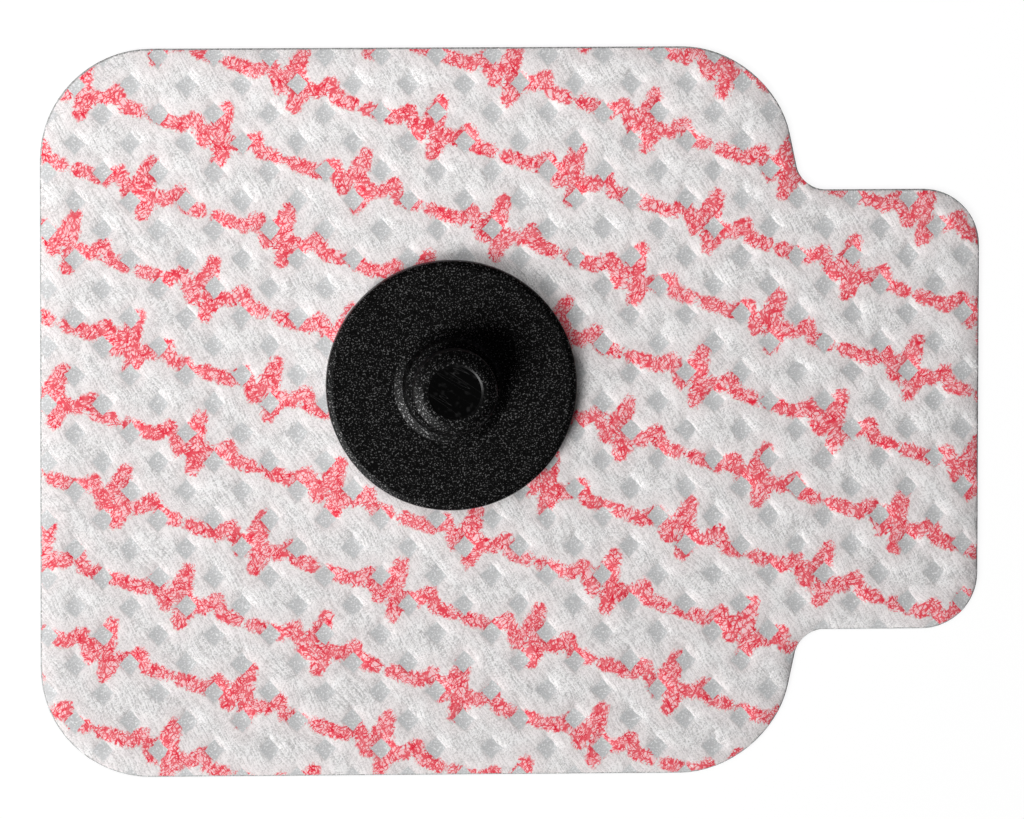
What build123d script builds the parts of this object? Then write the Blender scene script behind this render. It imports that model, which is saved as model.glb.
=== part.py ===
"""Monitoring electrode with a snap stud: embossed cloth backing with a pull tab, stud, sensor eyelet and gel pad.

Millimetres. The origin is on the stud's axis, in the plane where the gel meets the skin.
+Z points away from the skin, and +X points to the pull tab.
"""

from build123d import *
import os
from math import atan2, ceil, hypot, pi, sqrt, tan

# Cloth backing: a rounded pad with a pull tab at its +X end
pad_length = 35.0
pad_width = 35.0
pad_corner_radius = 5.3
tab_length = 10.0
tab_corner_radius = 2.7
tab_root_radius = 1.4
shoulder_depth = 6.9  # how much narrower the tab is than the pad, on each side
shoulder_lean = 1.45  # how far each shoulder runs towards the tab's end
cloth_thickness = 0.4

# Stud axis on the cloth
stud_from_pad_end = 19.6
stud_off_centreline = 1.4  # towards +Y

# Bond points: small sunken squares standing on a corner, in staggered rows
bond_pitch = 2.662  # along a row
bond_row_gap = 1.391
bond_diagonal = 1.0
bond_depth = 0.15
bond_phase_x = 0.68  # the bond point nearest to the stud axis
bond_phase_y = 0.49
bond_overhang = 0.25  # a bond point is kept if its centre lies less than this past the edge

# Sensor eyelet
eyelet_diameter = 10.0
eyelet_thickness = 0.25
post_engagement = 1.7  # length of post inside the stud
post_tip_chamfer = 0.25

# Gel pad
gel_ring = 4.5  # gel beyond the sensor disc
gel_under_sensor = 0.25

# Snap stud
flange_diameter = 12.0
flange_thickness = 0.7
flange_edge_radius = 0.25
foot_height = 0.65
foot_flare = 0.42
foot_step = 0.25  # foot beyond the head, on the radius
neck_height = 0.5
neck_wall = 0.49
undercut = 0.3  # head beyond the neck, on the radius
undercut_height = 0.35
head_diameter = 4.0
head_height = 1.25
head_shoulder_radius = 0.55
top_rim = 0.13  # flat ring round the mark in the top
top_mark_depth = 0.05

# Clearances, on the radius
gel_clearance = 0.02  # gel round the sensor disc
press_clearance = 0.01  # post in the stud
hole_clearance = 0.1  # post in the cloth
end_clearance = 0.1  # above the post's tip

# Sizes and heights that several pieces share
eyelet_radius = eyelet_diameter / 2
flange_radius = flange_diameter / 2
head_radius = head_diameter / 2
neck_radius = head_radius - undercut
socket_radius = neck_radius - neck_wall
post_radius = socket_radius - press_clearance
sensor_height = gel_under_sensor
cloth_height = sensor_height + eyelet_thickness
seat_height = cloth_height + cloth_thickness
tip_height = seat_height + post_engagement


def turned(corners):
    """Solid of revolution about the stud axis, from corners given as (radius, height, rounding)."""
    points = [(radius, height) for radius, height, rounding in corners]
    roundings = [rounding for radius, height, rounding in corners]
    with BuildPart() as solid:
        with BuildSketch(Plane.XZ):
            with BuildLine():
                FilletPolyline(*points, radius=roundings, close=True)
            make_face()
        revolve(axis=Axis.Z)
    return solid.part


def cloth_outline():
    """Face of the die-cut cloth's outline. The shoulders limit the radius of their outer corners."""
    half_turn = (pi / 2 - atan2(shoulder_lean, shoulder_depth)) / 2
    shoulder_length = hypot(shoulder_lean, shoulder_depth)
    shoulder_radius = min(pad_corner_radius, 0.95 * shoulder_length / tan(half_turn) - tab_root_radius)
    pad_y = pad_width / 2
    tab_y = pad_y - shoulder_depth
    end_x = -stud_from_pad_end
    shoulder_x = end_x + pad_length
    upper_half = [
        (shoulder_x + tab_length, tab_y, tab_corner_radius),
        (shoulder_x + shoulder_lean, tab_y, tab_root_radius),
        (shoulder_x, pad_y, shoulder_radius),
        (end_x, pad_y, pad_corner_radius),
    ]
    corners = upper_half + [(x, -y, radius) for x, y, radius in reversed(upper_half)]
    points = [(x, y - stud_off_centreline) for x, y, radius in corners]
    radii = [radius for x, y, radius in corners]
    with BuildSketch() as outline:
        with BuildLine():
            FilletPolyline(*points, radius=radii, close=True)
        make_face()
    return outline.sketch


def bond_points(outline):
    """Centres of the bond points on the cloth, apart from those wholly under the stud's flange."""
    rows = ceil((pad_width + stud_off_centreline) / bond_row_gap)
    columns = ceil((pad_length + tab_length) / bond_pitch)
    centres = []
    for row in range(-rows, rows + 1):
        for column in range(-columns, columns + 1):
            x = bond_phase_x + (column + row % 2 / 2) * bond_pitch
            y = bond_phase_y + row * bond_row_gap
            covered = hypot(x, y) + bond_diagonal / 2 < flange_radius
            if not covered and outline.distance_to(Vertex(x, y, 0)) < bond_overhang:
                centres.append((x, y))
    return centres


def backing_cloth():
    """Die-cut cloth with its sunken bond points and the hole for the eyelet's post."""
    outline = cloth_outline()
    bond_side = bond_diagonal / sqrt(2)
    with BuildPart() as cloth:
        with BuildSketch(Plane.XY.offset(cloth_height)):
            add(outline)
            Circle(post_radius + hole_clearance, mode=Mode.SUBTRACT)
        extrude(amount=cloth_thickness)
        with BuildSketch(Plane.XY.offset(seat_height)):
            with Locations(*bond_points(outline)):
                Rectangle(bond_side, bond_side, rotation=45)
        extrude(amount=-bond_depth, mode=Mode.SUBTRACT)
    return cloth.part


def snap_stud():
    """Moulded stud: flange, flared foot, neck and snap head, hollow from below for the eyelet's post."""
    foot_radius = head_radius + foot_step
    mark_radius = head_radius - head_shoulder_radius - top_rim
    flange_top = seat_height + flange_thickness
    foot_top = flange_top + foot_height
    neck_top = foot_top + neck_height
    head_bottom = neck_top + undercut_height
    head_top = head_bottom + head_height
    mark_floor = head_top - top_mark_depth
    socket_end = tip_height + end_clearance
    return turned([
        (socket_radius, seat_height, 0),
        (flange_radius, seat_height, 0),
        (flange_radius, flange_top, flange_edge_radius),
        (foot_radius, flange_top, foot_flare),
        (foot_radius, foot_top, 0),
        (neck_radius, foot_top, 0),
        (neck_radius, neck_top, 0),
        (head_radius, head_bottom, 0),
        (head_radius, head_top, head_shoulder_radius),
        (mark_radius, head_top, 0),
        (mark_radius, mark_floor, 0),
        (0, mark_floor, 0),
        (0, socket_end, 0),
        (socket_radius, socket_end, 0),
    ])


def sensor_eyelet():
    """Coated sensor disc with the post that holds the stud."""
    return turned([
        (0, sensor_height, 0),
        (eyelet_radius, sensor_height, 0),
        (eyelet_radius, cloth_height, 0),
        (post_radius, cloth_height, 0),
        (post_radius, tip_height - post_tip_chamfer, 0),
        (post_radius - post_tip_chamfer, tip_height, 0),
        (0, tip_height, 0),
    ])


def gel_pad():
    """Round gel pad, pressed round the sensor disc and against the cloth."""
    gel_radius = eyelet_radius + gel_ring
    pocket_radius = eyelet_radius + gel_clearance
    return turned([
        (0, 0, 0),
        (gel_radius, 0, 0),
        (gel_radius, cloth_height, 0),
        (pocket_radius, cloth_height, 0),
        (pocket_radius, sensor_height, 0),
        (0, sensor_height, 0),
    ])


os.makedirs("parts", exist_ok=True)
export_step(backing_cloth(), "parts/backing_cloth.step")
export_step(snap_stud(), "parts/snap_stud.step")
export_step(sensor_eyelet(), "parts/sensor_eyelet.step")
export_step(gel_pad(), "parts/gel_pad.step")
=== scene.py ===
import math
import random

import bmesh
import bpy
from mathutils import Matrix, Vector, noise
from mathutils.bvhtree import BVHTree
from mathutils.kdtree import KDTree


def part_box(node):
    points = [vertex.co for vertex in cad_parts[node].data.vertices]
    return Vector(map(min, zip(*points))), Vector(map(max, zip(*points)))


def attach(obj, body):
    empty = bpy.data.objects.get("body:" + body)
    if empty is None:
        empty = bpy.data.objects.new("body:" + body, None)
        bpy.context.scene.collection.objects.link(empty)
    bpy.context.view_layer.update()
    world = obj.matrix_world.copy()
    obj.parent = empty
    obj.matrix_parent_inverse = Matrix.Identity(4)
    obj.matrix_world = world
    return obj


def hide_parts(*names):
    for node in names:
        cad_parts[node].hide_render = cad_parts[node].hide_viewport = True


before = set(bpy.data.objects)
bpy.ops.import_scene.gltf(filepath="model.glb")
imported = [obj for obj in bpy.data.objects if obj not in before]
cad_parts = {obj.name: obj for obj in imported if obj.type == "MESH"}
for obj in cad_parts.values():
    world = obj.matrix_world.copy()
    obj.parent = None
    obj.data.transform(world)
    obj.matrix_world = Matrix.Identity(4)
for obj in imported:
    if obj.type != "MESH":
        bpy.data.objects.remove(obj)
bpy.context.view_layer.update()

mm = 0.001
sharpAngle = 40          # degrees, a steeper edge stays sharp
clothLow, clothHigh = (Vector(corner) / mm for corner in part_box("backing_cloth"))
studLow, studHigh = (Vector(corner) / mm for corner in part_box("snap_stud"))
gelLow, gelHigh = (Vector(corner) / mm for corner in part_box("gel_pad"))
print("frame loaded, cloth", [round(side, 2) for side in clothHigh - clothLow], "mm")


# helpers

def linear(hexColour):
    parts = [int(hexColour[i:i + 2], 16) / 255 for i in (1, 3, 5)]
    return (*[p / 12.92 if p <= 0.04045 else ((p + 0.055) / 1.055) ** 2.4 for p in parts], 1)


def addNode(tree, kind, inputs=None, **settings):
    node = tree.nodes.new(kind)
    for name, value in settings.items():
        setattr(node, name, value)
    for name, value in (inputs or {}).items():
        if isinstance(value, bpy.types.NodeSocket):
            tree.links.new(value, node.inputs[name])
        else:
            node.inputs[name].default_value = value
    return node


def newMaterial(name):
    material = bpy.data.materials.new(name)
    material.use_nodes = True
    material.node_tree.nodes.clear()
    return material, material.node_tree


def smoothStep(low, high, value):
    t = min(max((value - low) / (high - low), 0), 1)
    return t * t * (3 - 2 * t)


def finishPiece(bm, name, materials):
    bmesh.ops.scale(bm, vec=(mm, mm, mm), verts=bm.verts)
    mesh = bpy.data.meshes.new(name)
    bm.to_mesh(mesh)
    bm.free()
    for material in materials:
        mesh.materials.append(material)
    mesh.shade_smooth()
    mesh.set_sharp_from_angle(angle=math.radians(sharpAngle))
    piece = bpy.data.objects.new(name, mesh)
    bpy.context.collection.objects.link(piece)
    return piece


# cloth: sizes in mm, places from the frame

cloth = {
    "tabLength": 10.0, "shoulderDepth": 6.9, "shoulderLean": 1.45,
    "cornerRadius": 5.3, "tabCornerRadius": 2.7, "tabRootRadius": 1.4, "cornerSteps": 16,
    "holeRadius": 1.3, "holeSides": 16,
    "bondPitch": 2.662, "bondRowGap": 1.391, "bondPhase": (0.68, 0.49),
    "bondDiagonal": 1.0, "bondDepth": 0.15,
    "longRise": 0.52, "shortRise": 0.42, "softRise": 0.16,   # the roll leaves a long slope on one side
    "tilt": 0.72,                                        # and the far side of each film less deep
    "meltAndShadeReach": 0.1, "meltAndShadeShare": 0.5,                       # the film's grey laid beside each film: painted shade, with fibres half melted there
    "looseness": 0.018, "slackReach": 0.4,               # unevenness of the pillows, away from the films
    "slackWaves": ((0.6, 1.0, 3), (1.9, 0.6, 7)),        # waves to the mm, share, place in the noise
    "pinch": 0.01, "pinchFrom": 0.5, "pinchTo": -0.1,    # pressed flat, from and to the flange's edge
    "waver": 0.09, "waverSize": 0.45, "seed": 5,         # how far the bond points' edges wander
    "edgeRound": 0.06, "edgeHeight": 0.16, "edgePress": 1.0,   # the die presses the edge thin
    "edgeSteps": 8,
    "droop": 0.42, "droopFrom": 5.5, "droopTo": 9.7, "droopCurve": 1.6,   # comes down like a tent
    "wallLines": (0.045, 0.09, 0.15, 0.28, 0.43),        # mesh lines beside a bond point
    "underLines": 1.0,                                   # and across the underside, where it slopes
}
bondHalf = cloth["bondDiagonal"] / cloth["bondPitch"] / 2
bondCell = 1 / math.hypot(1 / cloth["bondPitch"], 0.5 / cloth["bondRowGap"])
faceSlot, filmSlot, coatSlot, cutSlot, backSlot = range(5)   # order of the cloth's materials


def bondPlace(x, y):
    # place about the nearest bond point, from -0.5 to 0.5 along both ways of the lattice
    across = (x - cloth["bondPhase"][0]) / cloth["bondPitch"]
    along = (y - cloth["bondPhase"][1]) / (2 * cloth["bondRowGap"])
    a, b = across + along, across - along
    return a - round(a), b - round(b)


def besideBond(x, y):
    # place on the nearest bond point, and the way from its film ahead and to the side
    a, b = bondPlace(x, y)
    return a, max(abs(a) - bondHalf, 0) * bondCell, max(abs(b) - bondHalf, 0) * bondCell


def droopAt(x, y):
    out = (math.hypot(x, y) - cloth["droopFrom"]) / (cloth["droopTo"] - cloth["droopFrom"])
    return cloth["droop"] * (1 - (1 - min(max(out, 0), 1)) ** cloth["droopCurve"])


def rounded(share):
    # a rise from 0 to 1 that rounds over at the top
    return 1 - (1 - min(share, 1)) ** 2


def quiltAt(x, y):
    # height over the flat top of the cloth
    a, ahead, beside = besideBond(x, y)
    away = math.hypot(ahead, beside)
    forward = cloth["longRise"] if a > 0 else cloth["softRise"]
    rise = rounded(math.hypot(ahead / forward, beside / cloth["shortRise"]))
    onFilm = min(max(0.5 + a / (2 * bondHalf), 0), 1)
    depth = cloth["bondDepth"] * (1 - cloth["tilt"] * (1 - onFilm ** 2))
    slack = sum(share * noise.noise(Vector((x * rate, y * rate, level)))
                for rate, share, level in cloth["slackWaves"])
    height = slack * cloth["looseness"] * min(away / cloth["slackReach"], 1) - depth * (1 - rise)
    underStud = smoothStep(studHigh.x + cloth["pinchFrom"], studHigh.x + cloth["pinchTo"], math.hypot(x, y))
    return height + (min(height, -cloth["pinch"]) - height) * underStud


def meltAndShadeAt(x, y):
    # share of the film's grey beside a bond point, on every side but the lit long slope: painted shade at the
    # pocket's edge, with half-melted fibre
    a, ahead, beside = besideBond(x, y)
    share = 1 if a < bondHalf - 1e-4 else beside / (ahead + beside + 1e-6)
    return cloth["meltAndShadeShare"] * share * smoothStep(cloth["meltAndShadeReach"], 0, math.hypot(ahead, beside))


def clothOutline(bm):
    middle = (clothLow.y + clothHigh.y) / 2
    padY = clothHigh.y - middle
    tabY = padY - cloth["shoulderDepth"]
    shoulderX = clothHigh.x - cloth["tabLength"]
    slant = math.tan((math.pi / 2 - math.atan2(cloth["shoulderLean"], cloth["shoulderDepth"])) / 2)
    upper = [
        (clothHigh.x, tabY, cloth["tabCornerRadius"]),
        (shoulderX + cloth["shoulderLean"], tabY, cloth["tabRootRadius"] * slant),
        (shoulderX, padY, cloth["cornerRadius"] * slant),
        (clothLow.x, padY, cloth["cornerRadius"]),
    ]
    corners = upper + [(x, -y, reach) for x, y, reach in reversed(upper)]
    verts = [bm.verts.new((x, middle + y, 0)) for x, y, reach in corners]
    bm.faces.new(verts)
    for vert, (x, y, reach) in zip(verts, corners):
        bmesh.ops.bevel(bm, geom=[vert], offset=reach, offset_type="OFFSET", affect="VERTICES",
                        segments=cloth["cornerSteps"], profile=0.5, material=-1)
    bmesh.ops.inset_region(bm, faces=bm.faces[:], thickness=cloth["edgeRound"],
                           use_boundary=True, use_even_offset=True)


def cutFaces(bm, faces, normal, offset):
    # dictionaries keep the order of the faces
    edges = dict.fromkeys(edge for face in faces for edge in face.edges)
    verts = dict.fromkeys(vert for face in faces for vert in face.verts)
    done = bmesh.ops.bisect_plane(bm, geom=[*faces, *edges, *verts], dist=1e-5,
                                  plane_co=normal * offset, plane_no=normal)
    return [item for item in done["geom"] if isinstance(item, bmesh.types.BMFace)]


def cutAlong(bm, faces, normal, offsets):
    # parallel cuts in order, so that each one only meets what is left beyond the last
    rest = list(faces)
    for offset in offsets:
        cut = cutFaces(bm, rest, normal, offset)
        rest = [face for face in cut if face.calc_center_median().dot(normal) > offset]


def latticeLines(phase):
    steps = [0, 0.5, bondHalf] + [bondHalf + line / bondCell for line in cloth["wallLines"]]
    steps = sorted({side * step for step in steps for side in (-1, 1)} - {-0.5})
    cells = math.ceil((clothHigh - clothLow).length / bondCell)
    return [phase + (cell + step) * bondCell for cell in range(-cells, cells + 1) for step in steps]


def makeCloth(materials):
    bm = bmesh.new()
    # share in each vertex of the film's grey laid beside the films: painted shade
    meltAndShade = bm.verts.layers.float.new("meltAndShade")
    clothOutline(bm)
    for side in (1, -1):
        normal = Vector((1 / cloth["bondPitch"], side * 0.5 / cloth["bondRowGap"], 0)).normalized()
        cutAlong(bm, bm.faces, normal, latticeLines(normal.dot(Vector((*cloth["bondPhase"], 0)))))
    flatArea = sum(face.calc_area() for face in bm.faces)
    rimEdges = [edge for edge in bm.edges if edge.is_boundary]
    outerRim = {vert for edge in rimEdges for vert in edge.verts}
    rimSpots = [edge.verts[0].co.lerp(edge.verts[1].co, step / cloth["edgeSteps"])
                for edge in rimEdges for step in range(cloth["edgeSteps"])]
    print("cloth cut into", len(bm.faces), "faces,", round(flatArea), "mm2")

    # hole for the post, under the stud
    near = [face for face in bm.faces if face.calc_center_median().length < 2 * cloth["holeRadius"]]
    for side in range(cloth["holeSides"]):
        turn = 2 * math.pi * side / cloth["holeSides"]
        near = cutFaces(bm, near, Vector((math.cos(turn), math.sin(turn), 0)), cloth["holeRadius"])
    inner = [face for face in near if face.calc_center_median().length < cloth["holeRadius"]]
    bmesh.ops.delete(bm, geom=inner, context="FACES")

    # quilted top, pressed thin towards the cut edge
    rimPoints = KDTree(len(rimSpots))
    for index, spot in enumerate(rimSpots):
        rimPoints.insert(spot, index)
    rimPoints.balance()
    for face in bm.faces:
        a, b = bondPlace(*face.calc_center_median().xy)
        face.material_index = filmSlot if max(abs(a), abs(b)) < bondHalf else faceSlot
        # faces touching the rim take the cut edge's grey, partly painted shade
        if not outerRim.isdisjoint(face.verts):
            face.material_index = cutSlot
    pressed = clothLow.z + cloth["edgeHeight"] - clothHigh.z
    noise.seed_set(cloth["seed"])
    for vert in bm.verts:
        x, y = vert.co.xy
        inward = rounded(rimPoints.find(vert.co)[2] / cloth["edgePress"])
        wander = noise.noise_vector(Vector((x, y, 5)) / cloth["waverSize"]) * cloth["waver"] * inward
        height = pressed + (quiltAt(x, y) - pressed) * inward
        vert[meltAndShade] = meltAndShadeAt(x, y)
        vert.co = (x + wander.x, y + wander.y, clothHigh.z - droopAt(x, y) + height)
    for vert in outerRim:
        vert.co.z -= cloth["edgeHeight"] / 2

    # cut edge, then the underside
    rim = [edge for edge in bm.edges if edge.is_boundary]
    walls = bmesh.ops.extrude_edge_only(bm, edges=rim)["geom"]
    for item in walls:
        if isinstance(item, bmesh.types.BMFace):
            item.material_index = cutSlot
    lowRim = [item for item in walls if isinstance(item, bmesh.types.BMEdge) and item.is_boundary]
    filled = bmesh.ops.triangle_fill(bm, use_beauty=True, edges=lowRim)["geom"]
    for item in filled:
        if isinstance(item, bmesh.types.BMFace):
            item.material_index = coatSlot
    count = math.ceil(cloth["droopTo"] / cloth["underLines"])
    tabStart = clothHigh.x - cloth["tabLength"] + cloth["shoulderLean"]
    for normal, extra in ((Vector((1, 0, 0)), [tabStart]), (Vector((0, 1, 0)), [])):
        under = [face for face in bm.faces if face.material_index == coatSlot]
        lines = [cloth["underLines"] * step for step in range(-count, count + 1)]
        cutAlong(bm, under, normal, sorted(lines + extra))
    for vert in {vert for face in bm.faces if face.material_index == coatSlot for vert in face.verts}:
        vert.co.z = clothLow.z - droopAt(*vert.co.xy)
    for face in bm.faces:
        if face.material_index == coatSlot and face.calc_center_median().x > tabStart:
            face.material_index = backSlot               # no adhesive under the tab
    bmesh.ops.recalc_face_normals(bm, faces=bm.faces)
    bm.faces.index_update()
    tree = BVHTree.FromBMesh(bm)
    films = {face.index for face in bm.faces if face.material_index == filmSlot}
    return finishPiece(bm, "quilted_cloth", materials), tree, films, flatArea


# print: a plain heartbeat line in leaning rows, kept as the distance from its strokes

trace = {
    "points": [(-3.1, 0), (-1.7, 0), (-1.2, 0.55), (-0.7, 0), (-0.4, -0.4), (0.1, 1.5), (0.5, -1.05),
               (0.8, 0), (1.35, 0), (1.85, 0.6), (2.3, 0), (3.1, 0)],
    "pitch": 7.0, "rowGap": 3.6, "stagger": 0.37, "lean": -19.0, "place": (1.3, 0.4),
    "halfStroke": 0.305,
}


def traceDistance(x, y):
    lean = math.radians(trace["lean"])
    along = x * math.cos(lean) + y * math.sin(lean) - trace["place"][0]
    up = y * math.cos(lean) - x * math.sin(lean) - trace["place"][1]
    nearest = trace["pitch"]
    for row in (math.floor(up / trace["rowGap"]), math.ceil(up / trace["rowGap"])):
        shifted = along - row * trace["stagger"] * trace["pitch"]
        shifted -= round(shifted / trace["pitch"]) * trace["pitch"]
        point = Vector((shifted, up - row * trace["rowGap"]))
        for start, end in zip(trace["points"], trace["points"][1:]):
            start, run = Vector(start), Vector(end) - Vector(start)
            share = min(max((point - start).dot(run) / run.length_squared, 0), 1)
            nearest = min(nearest, (point - start - share * run).length)
    return nearest


def addPrint(piece):
    layer = piece.data.attributes.new("traceDistance", "FLOAT", "POINT")
    for index, vert in enumerate(piece.data.vertices):
        layer.data[index].value = traceDistance(vert.co.x / mm, vert.co.y / mm)


# loose fibres, half sunk in the cloth's face

fibres = {
    "count": 1100, "radius": 0.02, "step": 0.16, "steps": (8, 24), "lift": -0.013,
    "headings": ((122, 20), (122, 20), (62, 26), (95, 50)), "bend": 0.07, "waver": 0.05, "seed": 11,
    "steepest": 0.6, "studGap": 0.1, "leastPoints": 4,   # where a fibre stops, and how short it may be
}


def makeFibres(tree, films, material):
    draw = random.Random(fibres["seed"])
    curve = bpy.data.curves.new("fibre_paths", "CURVE")
    curve.dimensions = "3D"
    curve.bevel_depth = fibres["radius"] * mm
    curve.bevel_resolution = 0
    for number in range(fibres["count"]):
        x = draw.uniform(clothLow.x, clothHigh.x)
        y = draw.uniform(clothLow.y, clothHigh.y)
        mean, spread = draw.choice(fibres["headings"])
        heading = math.radians(draw.gauss(mean, spread))
        bend = draw.gauss(0, fibres["bend"])
        runs = [[]]
        for step in range(draw.randint(*fibres["steps"])):
            place, normal, index, gap = tree.ray_cast(Vector((x, y, 2 * studHigh.z)), Vector((0, 0, -1)))
            off = place is None or index in films or normal.z < fibres["steepest"]
            if off or math.hypot(x, y) < studHigh.x + fibres["studGap"]:
                runs.append([])
            else:
                runs[-1].append(place + normal * fibres["lift"])
            x += fibres["step"] * math.cos(heading)
            y += fibres["step"] * math.sin(heading)
            heading += bend + draw.gauss(0, fibres["waver"])
        for run in runs:
            if len(run) < fibres["leastPoints"]:
                continue
            spline = curve.splines.new("POLY")
            spline.points.add(len(run) - 1)
            for point, place in zip(spline.points, run):
                point.co = (*(place * mm), 1)
    paths = bpy.data.objects.new("fibre_paths", curve)
    bpy.context.collection.objects.link(paths)
    bpy.context.view_layer.update()
    mesh = bpy.data.meshes.new_from_object(paths.evaluated_get(bpy.context.evaluated_depsgraph_get()))
    bpy.data.objects.remove(paths)
    mesh.name = "loose_fibres"
    mesh.materials.clear()
    mesh.materials.append(material)
    mesh.shade_smooth()
    piece = bpy.data.objects.new("loose_fibres", mesh)
    bpy.context.collection.objects.link(piece)
    return piece


# turned pieces: corners are (radius, height, rounding) in mm

turnedEdgeSteps = 6


def turnPiece(name, corners, material, steps):
    bm = bmesh.new()
    verts = [bm.verts.new((radius, 0, height)) for radius, height, rounding in corners]
    for first, second in zip(verts, verts[1:]):
        bm.edges.new((first, second))
    for index, (vert, (radius, height, rounding)) in enumerate(zip(verts, corners)):
        if not rounding:
            continue
        before = Vector(corners[index - 1][:2]) - Vector((radius, height))
        after = Vector(corners[index + 1][:2]) - Vector((radius, height))
        reach = rounding / math.tan(before.angle(after) / 2)
        bmesh.ops.bevel(bm, geom=[vert], offset=reach, offset_type="OFFSET", affect="VERTICES",
                        segments=turnedEdgeSteps, profile=0.5, material=-1)
    bmesh.ops.spin(bm, geom=bm.verts[:] + bm.edges[:], cent=(0, 0, 0), axis=(0, 0, 1), dvec=(0, 0, 0),
                   angle=2 * math.pi, steps=steps, use_merge=True, use_duplicate=False)
    bmesh.ops.remove_doubles(bm, verts=bm.verts, dist=1e-4)
    bmesh.ops.recalc_face_normals(bm, faces=bm.faces)
    piece = finishPiece(bm, name, [material])
    piece.modifiers.new("evenNormals", "WEIGHTED_NORMAL").keep_sharp = True
    return piece


stud = {
    "flangeThickness": 0.7, "edgeReach": 0.28, "edgeDrop": 0.075, "edgeRound": 0.12,
    "footHeight": 0.65, "footRadius": 2.25,
    "flareReach": 0.52, "flareRise": 0.15, "flareWall": 0.11, "flareRound": 0.25,
    "neckRadius": 1.7, "neckHeight": 0.5, "undercutHeight": 0.35, "headRadius": 2.0,
    "shoulderReach": 0.44, "shoulderDrop": 0.155, "shoulderRound": 0.35, "headEdge": 0.045,
    "markRadius": 1.32, "markDepth": 0.05, "markSlope": 0.08, "markEdge": 0.025,
    "socketRadius": 1.21, "socketDepth": 1.8, "smallEdge": 0.03, "headBase": 0.09, "turnSteps": 128,
}


def makeStud(material, markSurface):
    seat, top = studLow.z, studHigh.z
    flangeTop = seat + stud["flangeThickness"]
    footTop = flangeTop + stud["footHeight"]
    neckTop = footTop + stud["neckHeight"]
    headBottom = neckTop + stud["undercutHeight"]
    small = stud["smallEdge"]
    piece = turnPiece("moulded_stud", [
        (0, seat + stud["socketDepth"], 0),
        (stud["socketRadius"], seat + stud["socketDepth"], small),
        (stud["socketRadius"], seat, small),
        (studHigh.x, seat, small),
        (studHigh.x, flangeTop - stud["edgeDrop"], stud["edgeRound"]),
        (studHigh.x - stud["edgeReach"], flangeTop, stud["edgeRound"]),
        (stud["footRadius"] + stud["flareReach"], flangeTop, stud["flareRound"]),
        (stud["footRadius"] + stud["flareWall"], flangeTop + stud["flareRise"], stud["flareRound"] / 3),
        (stud["footRadius"], footTop, small),
        (stud["neckRadius"], footTop, small),
        (stud["neckRadius"], neckTop, small),
        (stud["headRadius"], headBottom, stud["headBase"]),
        (stud["headRadius"], top - stud["shoulderDrop"], stud["headEdge"]),
        (stud["headRadius"] - stud["shoulderReach"], top, stud["shoulderRound"]),
        (stud["markRadius"], top, stud["markEdge"]),
        (stud["markRadius"] - stud["markSlope"], top - stud["markDepth"], stud["markEdge"]),
        (0, top - stud["markDepth"], 0),
    ], material, stud["turnSteps"])
    markSlot = len(piece.data.materials)
    piece.data.materials.append(markSurface)
    for face in piece.data.polygons:
        inMark = face.center.xy.length < stud["markRadius"] * mm and face.center.z > headBottom * mm
        if inMark:
            face.material_index = markSlot
    return piece


gel = {
    "pocketRadius": 5.02, "pocketDepth": 0.25, "lowerEdge": 0.02, "upperEdge": 0.02, "clear": 0.02,
    "slopeRadii": (5.5, 6.3, 7.4, 8.6),                  # the cloth presses it thin towards its rim
    "turnSteps": 96,
}


def makeGel(material):
    slope = [(radius, gelHigh.z - gel["clear"] - droopAt(radius, 0), 0) for radius in gel["slopeRadii"]]
    rimHeight = gelHigh.z - gel["clear"] - droopAt(gelHigh.x, 0)
    return turnPiece("hydrogel_pad", [
        (0, gelHigh.z - gel["pocketDepth"], 0),
        (gel["pocketRadius"], gelHigh.z - gel["pocketDepth"], 0),
        (gel["pocketRadius"], gelHigh.z - gel["clear"], 0),
        *slope,
        (gelHigh.x, rimHeight, gel["upperEdge"]),
        (gelHigh.x, gelLow.z, gel["lowerEdge"]),
        (0, gelLow.z, 0),
    ], material, gel["turnSteps"])


# materials

clothLook = {
    # cut: the cut edge's grey, partly painted shade of its rounded rim
    "white": "#FAF8F8", "hollow": "#BCB9B9", "cut": "#8E8D8B",
    "streaks": ((122, 0.36), (70, 0.16), (30, 0.13)),    # turn and share
    "streakLength": 0.6, "streakGap": 0.068, "streakRange": (0.40, 0.60),
    "grainShare": 0.42, "grainSize": 0.065,
    "bendSize": 2.0, "bendReach": 0.7,                   # how the strands curve
    "webTurns": (122, 64, 18), "webLength": 0.42, "webGap": 0.125,
    "inkLight": "#FFCED2", "inkDeep": "#EE1A3A", "blush": "#F3E4E4",
    "soakRange": (0.068, 0.026), "soakReach": 0.12,      # ink on the strands, and out along them
    "ragSize": 0.2, "ragReach": 0.4, "ragShift": 0.27, "edgeSoftness": 0.06,
    "blotSize": 0.4, "blotRange": (0.3, 0.7), "blotLeast": 0.75,
    "haloRange": (1.2, 0.3), "haloShare": 0.5,
    "film": "#CDCDCE", "filmSpeck": "#FAFAFB", "speckSize": 0.085, "speckRange": (0.5, 0.72),
    "coat": "#DCDAD5", "endReach": 0.08,                 # strands' ends seen in the cut
}


def placeInMm(tree):
    place = addNode(tree, "ShaderNodeTexCoord").outputs["Object"]
    return addNode(tree, "ShaderNodeVectorMath", {0: place, "Scale": 1 / mm}, operation="SCALE").outputs[0]


def bentPlace(tree, inMm):
    # shifted to and fro, so that the strands curve
    bend = addNode(tree, "ShaderNodeTexNoise", {
        "Vector": inMm, "Scale": 1 / clothLook["bendSize"], "Detail": 1.0}).outputs["Color"]
    bend = addNode(tree, "ShaderNodeVectorMath", {
        0: bend, 1: (0.5, 0.5, 0.5)}, operation="SUBTRACT").outputs[0]
    reach = clothLook["bendReach"]
    return addNode(tree, "ShaderNodeVectorMath", {
        0: bend, 1: (reach, reach, 0), 2: inMm}, operation="MULTIPLY_ADD").outputs[0]


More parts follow.
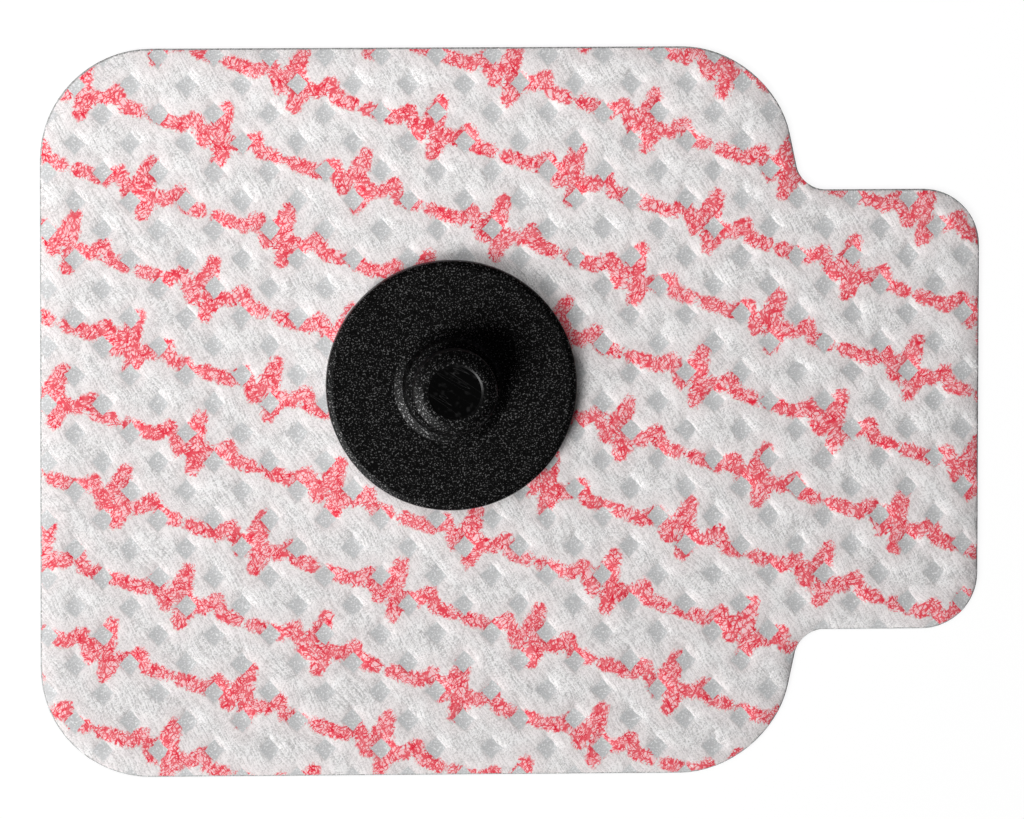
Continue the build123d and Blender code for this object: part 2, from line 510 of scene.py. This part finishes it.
def drawnNoise(tree, place, turn, length, gap, detail):
    # noise drawn out along one heading
    along = addNode(tree, "ShaderNodeMapping", {
        "Vector": place, "Rotation": (0, 0, math.radians(turn)), "Location": (turn, 0.7 * turn, 0),
        "Scale": (length, gap, 1)}, vector_type="TEXTURE").outputs[0]
    return addNode(tree, "ShaderNodeTexNoise", {"Vector": along, "Scale": 1.0, "Detail": detail}).outputs[0]


def streaks(tree, place):
    # fibre finer than the eye parts, mostly along the web's own way
    grain = addNode(tree, "ShaderNodeTexNoise", {
        "Vector": place, "Scale": 1 / clothLook["grainSize"], "Detail": 1.0})
    total = addNode(tree, "ShaderNodeMath", {
        0: grain.outputs[0], 1: clothLook["grainShare"]}, operation="MULTIPLY").outputs[0]
    for turn, share in clothLook["streaks"]:
        wave = drawnNoise(tree, place, turn, clothLook["streakLength"], clothLook["streakGap"], 1.5)
        total = addNode(tree, "ShaderNodeMath", {
            0: wave, 1: share, 2: total}, operation="MULTIPLY_ADD").outputs[0]
    hollow, full = clothLook["streakRange"]
    return addNode(tree, "ShaderNodeMapRange", {
        "Value": total, "From Min": hollow, "From Max": full}).outputs[0]


def strandWeb(tree, place):
    # distance from the strands of crossing sheets of fibre
    nearest = 1.0
    for turn in clothLook["webTurns"]:
        wave = drawnNoise(tree, place, turn, clothLook["webLength"], clothLook["webGap"], 0.5)
        wave = addNode(tree, "ShaderNodeMath", {0: wave, 1: 0.5}, operation="SUBTRACT").outputs[0]
        wave = addNode(tree, "ShaderNodeMath", {0: wave}, operation="ABSOLUTE").outputs[0]
        nearest = addNode(tree, "ShaderNodeMath", {0: wave, 1: nearest}, operation="MINIMUM").outputs[0]
    return nearest


def clothMaterial(name, soak):
    # point-bonded polyester nonwoven: matt white fibre that light soaks into, printed before it was bonded
    material, tree = newMaterial(name)
    inMm = placeInMm(tree)
    bent = bentPlace(tree, inMm)
    dense = streaks(tree, bent)
    nearest = strandWeb(tree, bent)
    bare = addNode(tree, "ShaderNodeMix", {
        "Factor": dense, "A": linear(clothLook["hollow"]), "B": linear(clothLook["white"])}, data_type="RGBA")

    # ink: a ragged edge that runs along the strands, and a deeper red on each strand
    away = addNode(tree, "ShaderNodeAttribute", attribute_name="traceDistance").outputs["Fac"]
    bareStrand, fullStrand = clothLook["soakRange"]
    soaked = addNode(tree, "ShaderNodeMapRange", {
        "Value": nearest, "From Min": bareStrand, "From Max": fullStrand}).outputs[0]
    rag = addNode(tree, "ShaderNodeTexNoise", {
        "Vector": inMm, "Scale": 1 / clothLook["ragSize"], "Detail": 3.0}).outputs[0]
    edge = addNode(tree, "ShaderNodeMath", {
        0: rag, 1: -clothLook["ragReach"], 2: away}, operation="MULTIPLY_ADD").outputs[0]
    edge = addNode(tree, "ShaderNodeMath", {
        0: soaked, 1: -clothLook["soakReach"], 2: edge}, operation="MULTIPLY_ADD").outputs[0]
    reach = trace["halfStroke"] - clothLook["ragShift"]
    inked = addNode(tree, "ShaderNodeMapRange", {
        "Value": edge, "From Min": reach + clothLook["edgeSoftness"],
        "From Max": reach - clothLook["edgeSoftness"]}).outputs[0]
    blot = addNode(tree, "ShaderNodeTexNoise", {
        "Vector": inMm, "Scale": 1 / clothLook["blotSize"], "Detail": 2.0}).outputs[0]
    thin, thick = clothLook["blotRange"]
    blot = addNode(tree, "ShaderNodeMapRange", {
        "Value": blot, "From Min": thin, "From Max": thick, "To Min": clothLook["blotLeast"]}).outputs[0]
    soaked = addNode(tree, "ShaderNodeMath", {0: soaked, 1: blot}, operation="MULTIPLY").outputs[0]
    ink = addNode(tree, "ShaderNodeMix", {
        "Factor": soaked, "A": linear(clothLook["inkLight"]), "B": linear(clothLook["inkDeep"])},
        data_type="RGBA")
    outer, inner = clothLook["haloRange"]
    halo = addNode(tree, "ShaderNodeMapRange", {
        "Value": away, "From Min": outer, "From Max": inner, "To Max": clothLook["haloShare"]}).outputs[0]
    blushed = addNode(tree, "ShaderNodeMix", {
        "Factor": halo, "A": bare.outputs["Result"], "B": linear(clothLook["blush"])}, data_type="RGBA")
    # the film's grey laid on the cloth beside each film: painted shade at the pockets' edges, with
    # half-melted fibre
    meltAndShade = addNode(tree, "ShaderNodeAttribute", attribute_name="meltAndShade").outputs["Fac"]
    pressed = addNode(tree, "ShaderNodeMix", {
        "Factor": meltAndShade, "A": blushed.outputs["Result"], "B": linear(clothLook["film"])}, data_type="RGBA")
    colour = addNode(tree, "ShaderNodeMix", {
        "Factor": inked, "A": pressed.outputs["Result"], "B": ink.outputs["Result"]}, data_type="RGBA")

    depth = 0.0
    if soak:
        depth = addNode(tree, "ShaderNodeMapRange", {
            "Value": inked, "To Min": soak, "To Max": 0.0}).outputs[0]
    bump = addNode(tree, "ShaderNodeBump", {"Height": dense, "Strength": 0.3, "Distance": 0.02 * mm})
    shader = addNode(tree, "ShaderNodeBsdfPrincipled", {
        "Base Color": colour.outputs["Result"], "Roughness": 0.85, "IOR": 1.5, "Specular IOR Level": 0.25,
        "Subsurface Weight": depth, "Subsurface Radius": (1, 1, 1), "Subsurface Scale": 0.25 * mm,
        "Sheen Weight": 0.1, "Sheen Roughness": 0.5, "Normal": bump.outputs[0]}, subsurface_method="BURLEY")
    addNode(tree, "ShaderNodeOutputMaterial", {"Surface": shader.outputs[0]})
    return material


def filmMaterial():
    # fibres melted flat by the bonding roll: a greyish film with a slight shine and small pale specks
    material, tree = newMaterial("bonded_film")
    inMm = placeInMm(tree)
    grain = addNode(tree, "ShaderNodeTexNoise", {
        "Vector": inMm, "Scale": 1 / clothLook["speckSize"], "Detail": 2.0}).outputs[0]
    dull, pale = clothLook["speckRange"]
    speck = addNode(tree, "ShaderNodeMapRange", {
        "Value": grain, "From Min": dull, "From Max": pale}).outputs[0]
    colour = addNode(tree, "ShaderNodeMix", {
        "Factor": speck, "A": linear(clothLook["film"]), "B": linear(clothLook["filmSpeck"])},
        data_type="RGBA")
    bump = addNode(tree, "ShaderNodeBump", {"Height": grain, "Strength": 0.4, "Distance": 0.03 * mm})
    shader = addNode(tree, "ShaderNodeBsdfPrincipled", {
        "Base Color": colour.outputs["Result"], "Roughness": 0.42, "IOR": 1.5, "Normal": bump.outputs[0],
        "Subsurface Weight": 0.2, "Subsurface Radius": (1, 1, 1), "Subsurface Scale": 0.2 * mm},
        subsurface_method="BURLEY")
    addNode(tree, "ShaderNodeOutputMaterial", {"Surface": shader.outputs[0]})
    return material


def cutMaterial():
    # the cut edge and its rounded rim: a thin grey line, partly painted shade of the edge and partly the cut
    # fibres' own grey, with the strands' ends lighter
    material, tree = newMaterial("cut_edge_painted_shade")
    nearest = strandWeb(tree, placeInMm(tree))
    ends = addNode(tree, "ShaderNodeMapRange", {
        "Value": nearest, "From Min": clothLook["endReach"], "From Max": 0.0}).outputs[0]
    colour = addNode(tree, "ShaderNodeMix", {
        "Factor": ends, "A": linear(clothLook["cut"]), "B": linear(clothLook["film"])}, data_type="RGBA")
    shader = addNode(tree, "ShaderNodeBsdfPrincipled", {
        "Base Color": colour.outputs["Result"], "Roughness": 0.7})
    addNode(tree, "ShaderNodeOutputMaterial", {"Surface": shader.outputs[0]})
    return material


def coatMaterial():
    # skin adhesive coated on the underside: a smooth pale film with a soft shine
    material, tree = newMaterial("acrylic_adhesive_coat")
    dense = streaks(tree, bentPlace(tree, placeInMm(tree)))
    colour = addNode(tree, "ShaderNodeMix", {
        "Factor": dense, "A": linear(clothLook["hollow"]), "B": linear(clothLook["coat"])}, data_type="RGBA")
    bump = addNode(tree, "ShaderNodeBump", {"Height": dense, "Strength": 0.2, "Distance": 0.03 * mm})
    shader = addNode(tree, "ShaderNodeBsdfPrincipled", {
        "Base Color": colour.outputs["Result"], "Roughness": 0.35, "IOR": 1.47, "Normal": bump.outputs[0]})
    addNode(tree, "ShaderNodeOutputMaterial", {"Surface": shader.outputs[0]})
    return material


def backMaterial():
    # the same nonwoven from behind, under the tab: unprinted and matt
    material, tree = newMaterial("polyester_nonwoven_back")
    dense = streaks(tree, bentPlace(tree, placeInMm(tree)))
    colour = addNode(tree, "ShaderNodeMix", {
        "Factor": dense, "A": linear(clothLook["hollow"]), "B": linear(clothLook["white"])}, data_type="RGBA")
    bump = addNode(tree, "ShaderNodeBump", {"Height": dense, "Strength": 0.4, "Distance": 0.03 * mm})
    shader = addNode(tree, "ShaderNodeBsdfPrincipled", {
        "Base Color": colour.outputs["Result"], "Roughness": 0.85, "IOR": 1.5, "Specular IOR Level": 0.25,
        "Sheen Weight": 0.1, "Sheen Roughness": 0.5, "Normal": bump.outputs[0]})
    addNode(tree, "ShaderNodeOutputMaterial", {"Surface": shader.outputs[0]})
    return material


studLook = {
    "black": "#030303", "flake": "#8A8A8A", "scratch": "#303030",
    "grain": 0.072, "grainDepth": 0.01, "flakeRange": (0.588, 0.67), "graphiteRange": (0.55, 0.575),
    "roughness": (0.41, 0.55),                           # plastic and flakes
    "scratchTurn": -32, "scratchLength": 6.0, "scratchGap": 0.35, "scratchEdge": 0.005,
    "rub": 0.3, "rubRange": (0.58, 0.95),
    "polish": (0.2, 0.33), "polishEdge": (0.12, 0.07),   # roughness inside and at the mark's wall
}


def studMaterial():
    # carbon-filled ABS from a spark-eroded mould: black, matt, with graphite flakes that sparkle in the light
    material, tree = newMaterial("carbon_filled_abs")
    inMm = placeInMm(tree)
    grain = addNode(tree, "ShaderNodeTexNoise", {
        "Vector": inMm, "Scale": 1 / studLook["grain"], "Detail": 1.0, "Roughness": 0.6}).outputs[0]
    low, high = studLook["flakeRange"]
    flakes = addNode(tree, "ShaderNodeMapRange", {
        "Value": grain, "From Min": low, "From Max": high}).outputs[0]
    low, high = studLook["graphiteRange"]
    graphite = addNode(tree, "ShaderNodeMapRange", {
        "Value": grain, "From Min": low, "From Max": high}).outputs[0]
    plastic, flaked = studLook["roughness"]
    rough = addNode(tree, "ShaderNodeMapRange", {
        "Value": graphite, "To Min": plastic, "To Max": flaked}).outputs[0]
    colour = addNode(tree, "ShaderNodeMix", {
        "Factor": flakes, "A": linear(studLook["black"]), "B": linear(studLook["flake"])}, data_type="RGBA")
    bump = addNode(tree, "ShaderNodeBump", {
        "Height": grain, "Strength": 1.0, "Distance": studLook["grainDepth"] * mm})
    shader = addNode(tree, "ShaderNodeBsdfPrincipled", {
        "Base Color": colour.outputs["Result"], "Metallic": graphite, "Roughness": rough,
        "IOR": 1.53, "Specular IOR Level": 0.13, "Normal": bump.outputs[0]})
    addNode(tree, "ShaderNodeOutputMaterial", {"Surface": shader.outputs[0]})
    return material


def markMaterial():
    # the same plastic where the mould was polished: smooth and nearly black, with fine handling scratches
    material, tree = newMaterial("carbon_filled_abs_smooth")
    inMm = placeInMm(tree)
    wave = drawnNoise(tree, inMm, studLook["scratchTurn"], studLook["scratchLength"],
                      studLook["scratchGap"], 1.0)
    wave = addNode(tree, "ShaderNodeMath", {0: wave, 1: 0.5}, operation="SUBTRACT").outputs[0]
    wave = addNode(tree, "ShaderNodeMath", {0: wave}, operation="ABSOLUTE").outputs[0]
    scratch = addNode(tree, "ShaderNodeMapRange", {
        "Value": wave, "From Min": studLook["scratchEdge"], "From Max": 0.0}).outputs[0]
    rubbed = addNode(tree, "ShaderNodeTexNoise", {
        "Vector": inMm, "Scale": 1 / studLook["rub"], "Detail": 3.0}).outputs[0]
    low, high = studLook["rubRange"]
    rubbed = addNode(tree, "ShaderNodeMapRange", {
        "Value": rubbed, "From Min": low, "From Max": high}).outputs[0]
    worn = addNode(tree, "ShaderNodeMath", {0: scratch, 1: rubbed}, operation="MAXIMUM").outputs[0]
    colour = addNode(tree, "ShaderNodeMix", {
        "Factor": worn, "A": linear(studLook["black"]), "B": linear(studLook["scratch"])},
        data_type="RGBA")
    flat = addNode(tree, "ShaderNodeVectorMath", {0: inMm, 1: (1, 1, 0)}, operation="MULTIPLY").outputs[0]
    radius = addNode(tree, "ShaderNodeVectorMath", {0: flat}, operation="LENGTH").outputs["Value"]
    inside, outside = (stud["markRadius"] - edge for edge in studLook["polishEdge"])
    bright, dull = studLook["polish"]
    rough = addNode(tree, "ShaderNodeMapRange", {
        "Value": radius, "From Min": inside, "From Max": outside,
        "To Min": bright, "To Max": dull}).outputs[0]
    shader = addNode(tree, "ShaderNodeBsdfPrincipled", {
        "Base Color": colour.outputs["Result"], "Roughness": rough, "IOR": 1.53, "Specular IOR Level": 0.4})
    addNode(tree, "ShaderNodeOutputMaterial", {"Surface": shader.outputs[0]})
    return material


gelLook = {"colour": "#E6EDEA", "ripples": 0.6, "rippleDepth": 0.08}   # ripples to the mm


def gelMaterial():
    # cast hydrogel: clear, faintly milky, wet shine
    material, tree = newMaterial("hydrogel")
    inMm = placeInMm(tree)
    ripple = addNode(tree, "ShaderNodeTexNoise", {
        "Vector": inMm, "Scale": gelLook["ripples"], "Detail": 2.0}).outputs[0]
    bump = addNode(tree, "ShaderNodeBump", {
        "Height": ripple, "Strength": 0.3, "Distance": gelLook["rippleDepth"] * mm})
    shader = addNode(tree, "ShaderNodeBsdfPrincipled", {
        "Base Color": linear(gelLook["colour"]), "Roughness": 0.12, "IOR": 1.36, "Transmission Weight": 0.75,
        "Normal": bump.outputs[0]})
    addNode(tree, "ShaderNodeOutputMaterial", {"Surface": shader.outputs[0]})
    return material


sensorLook = {"dark": "#7C7972", "light": "#A9A6A0", "mottles": 2.2}   # mottles to the mm


def sensorMaterial():
    # silver chloride over silver on plastic: dull warm grey with darker mottling
    material, tree = newMaterial("silver_chloride_coat")
    inMm = placeInMm(tree)
    mottle = addNode(tree, "ShaderNodeTexNoise", {
        "Vector": inMm, "Scale": sensorLook["mottles"], "Detail": 4.0}).outputs[0]
    colour = addNode(tree, "ShaderNodeMix", {
        "Factor": mottle, "A": linear(sensorLook["dark"]), "B": linear(sensorLook["light"])},
        data_type="RGBA")
    shader = addNode(tree, "ShaderNodeBsdfPrincipled", {
        "Base Color": colour.outputs["Result"], "Metallic": 0.35, "Roughness": 0.45})
    addNode(tree, "ShaderNodeOutputMaterial", {"Surface": shader.outputs[0]})
    return material


# pieces

quilted, clothTree, filmFaces, flatArea = makeCloth([
    clothMaterial("polyester_nonwoven", 0.7), filmMaterial(), coatMaterial(), cutMaterial(), backMaterial()])
addPrint(quilted)
print("quilted cloth", len(quilted.data.polygons), "faces")
loose = makeFibres(clothTree, filmFaces, clothMaterial("polyester_filament", 0.0))
addPrint(loose)
print("loose fibres", len(loose.data.polygons), "faces")
mouldedStud = makeStud(studMaterial(), markMaterial())
hydrogel = makeGel(gelMaterial())
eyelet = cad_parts["sensor_eyelet"]
eyelet.data.materials.clear()
eyelet.data.materials.append(sensorMaterial())
print("stud and gel turned")

for piece, node, slot in ((quilted, "backing_cloth", "cloth"), (mouldedStud, "snap_stud", "stud"),
                          (hydrogel, "gel_pad", "gel")):
    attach(piece, "root")
    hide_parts(node)
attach(loose, "root")


# floor, light and camera

stage = {
    "floorSide": 3.0, "floorColour": "#F4F4F4", "floorGlow": 0.85, "floorWhite": 1.05, "world": 0.02,
    "keyPower": 1.99, "keySize": 0.272, "keyTurn": 219, "keyRise": 45, "keyAway": 0.48, "keyShine": True,
    "fillPower": 0.0323, "fillSize": 0.07, "fillTurn": 124, "fillRise": 58, "fillAway": 0.085,
    "fillShine": False,
}


def makeFloor():
    bm = bmesh.new()
    bmesh.ops.create_grid(bm, x_segments=1, y_segments=1, size=stage["floorSide"] / 2)
    mesh = bpy.data.meshes.new("floor")
    bm.to_mesh(mesh)
    bm.free()
    material, tree = newMaterial("white_sweep")
    paths = addNode(tree, "ShaderNodeLightPath").outputs
    seen = addNode(tree, "ShaderNodeMath", {
        0: paths["Is Camera Ray"], 1: paths["Is Glossy Ray"]}, operation="MAXIMUM").outputs[0]
    seen = addNode(tree, "ShaderNodeMath", {
        0: seen, 1: paths["Is Transmission Ray"]}, operation="MAXIMUM").outputs[0]
    share = addNode(tree, "ShaderNodeMath", {0: seen, 1: stage["floorGlow"]}, operation="MULTIPLY").outputs[0]
    paper = addNode(tree, "ShaderNodeBsdfDiffuse", {"Color": linear(stage["floorColour"])})
    white = addNode(tree, "ShaderNodeEmission", {"Color": (1, 1, 1, 1), "Strength": stage["floorWhite"]})
    shader = addNode(tree, "ShaderNodeMixShader", {0: share, 1: paper.outputs[0], 2: white.outputs[0]})
    addNode(tree, "ShaderNodeOutputMaterial", {"Surface": shader.outputs[0]})
    mesh.materials.append(material)
    floor = bpy.data.objects.new("floor", mesh)
    bpy.context.collection.objects.link(floor)


def direction(turn, rise):
    turn, rise = math.radians(turn), math.radians(rise)
    return Vector((math.cos(turn) * math.cos(rise), math.sin(turn) * math.cos(rise), math.sin(rise)))


def makeLamp(name):
    data = bpy.data.lights.new(name, "AREA")
    data.shape = "DISK"
    data.size = stage[name + "Size"]
    data.energy = stage[name + "Power"]
    lamp = bpy.data.objects.new(name, data)
    way = direction(stage[name + "Turn"], stage[name + "Rise"])
    lamp.location = way * stage[name + "Away"]
    lamp.rotation_euler = way.to_track_quat("Z", "Y").to_euler()
    lamp.visible_glossy = stage[name + "Shine"]
    bpy.context.collection.objects.link(lamp)


view = {"away": 0.75, "tilt": 7.6, "turn": 123, "roll": -0.1, "width": 48.96, "aim": (2.93, -1.22),
        "sensor": 36, "clip": (0.01, 10)}


def makeCamera():
    data = bpy.data.cameras.new("camera")
    data.sensor_width = view["sensor"]
    data.lens = data.sensor_width * view["away"] / (view["width"] * mm)
    data.clip_start, data.clip_end = view["clip"]
    camera = bpy.data.objects.new("camera", data)
    way = direction(view["turn"], 90 - view["tilt"])
    roll = math.radians(view["roll"])
    up = Vector((math.sin(roll), math.cos(roll), 0))
    right = up.cross(way).normalized()
    axes = Matrix((right, way.cross(right), way)).transposed().to_4x4()
    target = Vector((*view["aim"], clothHigh.z)) * mm
    camera.matrix_world = Matrix.Translation(target + way * view["away"]) @ axes
    bpy.context.collection.objects.link(camera)
    bpy.context.scene.camera = camera


makeFloor()
makeLamp("key")
makeLamp("fill")
makeCamera()
world = bpy.data.worlds.new("studio")
bpy.context.scene.world = world
world.use_nodes = True
world.node_tree.nodes["Background"].inputs["Color"].default_value = (1, 1, 1, 1)
world.node_tree.nodes["Background"].inputs["Strength"].default_value = stage["world"]
bpy.context.scene.view_settings.view_transform = "Standard"
print("stage set")
